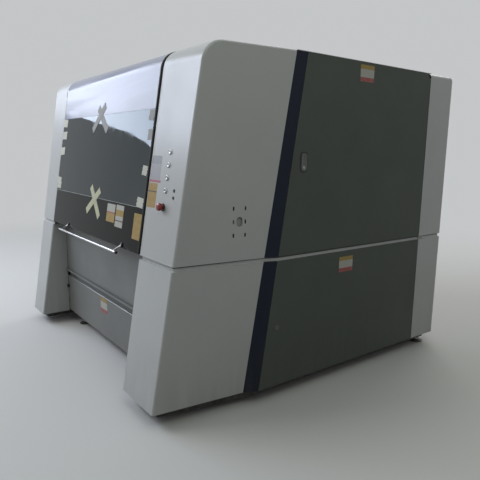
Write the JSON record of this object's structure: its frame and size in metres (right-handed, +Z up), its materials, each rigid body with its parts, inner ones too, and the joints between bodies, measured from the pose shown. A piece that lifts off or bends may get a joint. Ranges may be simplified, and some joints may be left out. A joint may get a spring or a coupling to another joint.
{
  "type": "fiber laser cutting machine",
  "caption": "Enclosed fiber laser cutter: leaning front with a lift-up windowed door, side doors, slag drawer, slat table and a moving gantry with its cutting head.",
  "frame": {"origin": "on the floor, below the middle of the body's width and depth", "axes": "+Z up, -Y towards the operator at the front door, +X to the right as the operator sees it"},
  "size_m": [2.304, 2.23, 1.87],
  "materials": {
    "white_powder_coat": "satin powder coat",
    "grey_powder_coat": "fine satin powder coat",
    "navy_band_coat": "satin",
    "black_coat": "satin black",
    "gloss_black_panel": "gloss",
    "tinted_window": "tinted laser-safe acrylic",
    "steel": "ground",
    "polished_steel": "polished",
    "aluminium": "anodised",
    "copper": "turned",
    "red_plastic": "gloss",
    "bed_paint": "hammered grey",
    "black_motor": "satin black"
  },
  "bodies": {
    "machine": {"base_frame": "black_coat", "cover_frame": "black_coat", "bed_frame": "bed_paint", "levelling_foot_front_left": "black_coat", "levelling_foot_front_right": "black_coat", "levelling_foot_rear_left": "black_coat", "levelling_foot_rear_right": "black_coat", "lower_fairing_right": "white_powder_coat", "lower_fairing_left": "white_powder_coat", "upper_fairing_right": "white_powder_coat", "upper_fairing_left": "white_powder_coat", "lower_band_right": "navy_band_coat", "lower_band_left": "navy_band_coat", "upper_band_right": "navy_band_coat", "upper_band_left": "navy_band_coat", "rear_upper_cover": "white_powder_coat", "rear_lower_cover": "white_powder_coat", "roof_panel": "white_powder_coat", "front_panel": "grey_powder_coat", "slat_table": "steel", "guide_rail_right": "steel", "guide_rail_left": "steel", "rack_right": "steel", "rack_left": "steel", "chamber_liner": "bed_paint", "laser_source": "grey_powder_coat", "electrical_cabinet": "bed_paint", "extraction_duct": "steel"},
    "front_door": {"door_frame": "black_coat", "door_top_shell": "white_powder_coat", "door_window": "tinted_window", "door_lower_panel": "gloss_black_panel", "door_handle": "polished_steel"},
    "drawer": {"slag_drawer": "grey_powder_coat"},
    "gantry": {"gantry_beam": "aluminium", "gantry_motor_right": "black_motor", "gantry_motor_left": "black_motor"},
    "carriage_body": {"carriage": "aluminium"},
    "head": {"head_slide": "black_coat", "cutting_head": "aluminium", "nozzle": "copper"},
    "pinion_right_body": {"pinion_right": "steel"},
    "strut_right_tube_body": {"strut_right_tube": "black_coat"},
    "strut_right_rod_body": {"strut_right_rod": "polished_steel"},
    "upper_door_right_body": {"upper_door_right": "grey_powder_coat"},
    "lower_door_right_body": {"lower_door_right": "grey_powder_coat"},
    "paddle_latch_right_body": {"paddle_latch_right": "steel"},
    "cam_lock_right_body": {"cam_lock_right": "steel"},
    "pinion_left_body": {"pinion_left": "steel"},
    "strut_left_tube_body": {"strut_left_tube": "black_coat"},
    "strut_left_rod_body": {"strut_left_rod": "polished_steel"},
    "upper_door_left_body": {"upper_door_left": "grey_powder_coat"},
    "lower_door_left_body": {"lower_door_left": "grey_powder_coat"},
    "paddle_latch_left_body": {"paddle_latch_left": "steel"},
    "cam_lock_left_body": {"cam_lock_left": "steel"},
    "push_button_1_body": {"push_button_1": "steel"},
    "push_button_2_body": {"push_button_2": "steel"},
    "push_button_3_body": {"push_button_3": "steel"},
    "push_button_4_body": {"push_button_4": "steel"},
    "emergency_stop_body": {"emergency_stop": "red_plastic"}
  },
  "joints": [
    {"name": "front_door_hinge", "type": "hinge", "parent": "machine", "child": "front_door", "pos_m": [-0.052, -0.55999, 1.84], "axis": [-1, 0, 0], "range_deg": [0, 60]},
    {"name": "drawer_slide", "type": "slide", "parent": "machine", "child": "drawer", "axis": [0, -1, 0], "range_m": [0, 0.6]},
    {"name": "gantry_slide", "type": "slide", "parent": "machine", "child": "gantry", "axis": [0, -1, 0], "range_m": [-0.21, 0.68]},
    {"name": "carriage_slide", "type": "slide", "parent": "gantry", "child": "carriage_body", "axis": [1, 0, 0], "range_m": [-0.33, 0.93]},
    {"name": "head_lift", "type": "slide", "parent": "carriage_body", "child": "head", "axis": [0, 0, 1], "range_m": [-0.01, 0.08]},
    {"name": "pinion_right_spin", "type": "hinge", "parent": "gantry", "child": "pinion_right_body", "pos_m": [0.8505, 0.15, 0.91], "axis": [0, 0, 1], "range_deg": [-1926, 596]},
    {"name": "strut_right_pivot", "type": "hinge", "parent": "machine", "child": "strut_right_tube_body", "pos_m": [0.677, -0.56999, 1.58], "axis": [-1, 0, 0], "range_deg": [0, 28.32]},
    {"name": "strut_right_stroke", "type": "slide", "parent": "strut_right_tube_body", "child": "strut_right_rod_body", "axis": [0, -0.7954, 0.606], "range_m": [0, 0.1789]},
    {"name": "upper_door_right_hinge", "type": "hinge", "parent": "machine", "child": "upper_door_right_body", "pos_m": [1.148, 0.846, 0.811], "axis": [0, 0, 1], "range_deg": [0, 100]},
    {"name": "lower_door_right_hinge", "type": "hinge", "parent": "machine", "child": "lower_door_right_body", "pos_m": [1.148, 0.846, 0.08], "axis": [0, 0, 1], "range_deg": [0, 100]},
    {"name": "paddle_latch_right_pivot", "type": "hinge", "parent": "upper_door_right_body", "child": "paddle_latch_right_body", "pos_m": [1.152, -0.25, 1.355], "axis": [0, -1, 0], "range_deg": [0, 35], "stiffness_Nm_per_rad": 0.4},
    {"name": "cam_lock_right_turn", "type": "hinge", "parent": "lower_door_right_body", "child": "cam_lock_right_body", "pos_m": [1.148, -0.41, 0.417], "axis": [1, 0, 0], "range_deg": [-90, 0]},
    {"name": "pinion_left_spin", "type": "hinge", "parent": "gantry", "child": "pinion_left_body", "pos_m": [-0.8505, 0.15, 0.91], "axis": [0, 0, 1], "range_deg": [-596, 1926]},
    {"name": "strut_left_pivot", "type": "hinge", "parent": "machine", "child": "strut_left_tube_body", "pos_m": [-0.781, -0.56999, 1.58], "axis": [-1, 0, 0], "range_deg": [0, 28.32]},
    {"name": "strut_left_stroke", "type": "slide", "parent": "strut_left_tube_body", "child": "strut_left_rod_body", "axis": [0, -0.7954, 0.606], "range_m": [0, 0.1789]},
    {"name": "upper_door_left_hinge", "type": "hinge", "parent": "machine", "child": "upper_door_left_body", "pos_m": [-1.148, 0.846, 0.811], "axis": [0, 0, -1], "range_deg": [0, 100]},
    {"name": "lower_door_left_hinge", "type": "hinge", "parent": "machine", "child": "lower_door_left_body", "pos_m": [-1.148, 0.846, 0.08], "axis": [0, 0, -1], "range_deg": [0, 100]},
    {"name": "paddle_latch_left_pivot", "type": "hinge", "parent": "upper_door_left_body", "child": "paddle_latch_left_body", "pos_m": [-1.152, -0.25, 1.355], "axis": [0, 1, 0], "range_deg": [0, 35], "stiffness_Nm_per_rad": 0.4},
    {"name": "cam_lock_left_turn", "type": "hinge", "parent": "lower_door_left_body", "child": "cam_lock_left_body", "pos_m": [-1.148, -0.41, 0.417], "axis": [1, 0, 0], "range_deg": [-90, 0]},
    {"name": "push_button_1_press", "type": "slide", "parent": "machine", "child": "push_button_1_body", "axis": [0, 0.9877, -0.1564], "range_m": [0, 0.003], "stiffness_N_per_m": 500, "springref_m": -0.001},
    {"name": "push_button_2_press", "type": "slide", "parent": "machine", "child": "push_button_2_body", "axis": [0, 0.9877, -0.1564], "range_m": [0, 0.003], "stiffness_N_per_m": 500, "springref_m": -0.001},
    {"name": "push_button_3_press", "type": "slide", "parent": "machine", "child": "push_button_3_body", "axis": [0, 0.9877, -0.1564], "range_m": [0, 0.003], "stiffness_N_per_m": 500, "springref_m": -0.001},
    {"name": "push_button_4_press", "type": "slide", "parent": "machine", "child": "push_button_4_body", "axis": [0, 0.9877, -0.1564], "range_m": [0, 0.003], "stiffness_N_per_m": 500, "springref_m": -0.001},
    {"name": "emergency_stop_press", "type": "slide", "parent": "machine", "child": "emergency_stop_body", "axis": [0, 0.9877, -0.1564], "range_m": [0, 0.005]}
  ],
  "couplings": [
    {"joint": "pinion_right_spin", "follows": "gantry_slide", "rad_per_m": -49.383},
    {"joint": "strut_right_pivot", "follows": "front_door_hinge", "ratio": 0.46193},
    {"joint": "strut_right_stroke", "follows": "front_door_hinge", "m_per_rad": 0.16984},
    {"joint": "pinion_left_spin", "follows": "gantry_slide", "rad_per_m": 49.383},
    {"joint": "strut_left_pivot", "follows": "front_door_hinge", "ratio": 0.46193},
    {"joint": "strut_left_stroke", "follows": "front_door_hinge", "m_per_rad": 0.16984}
  ]
}
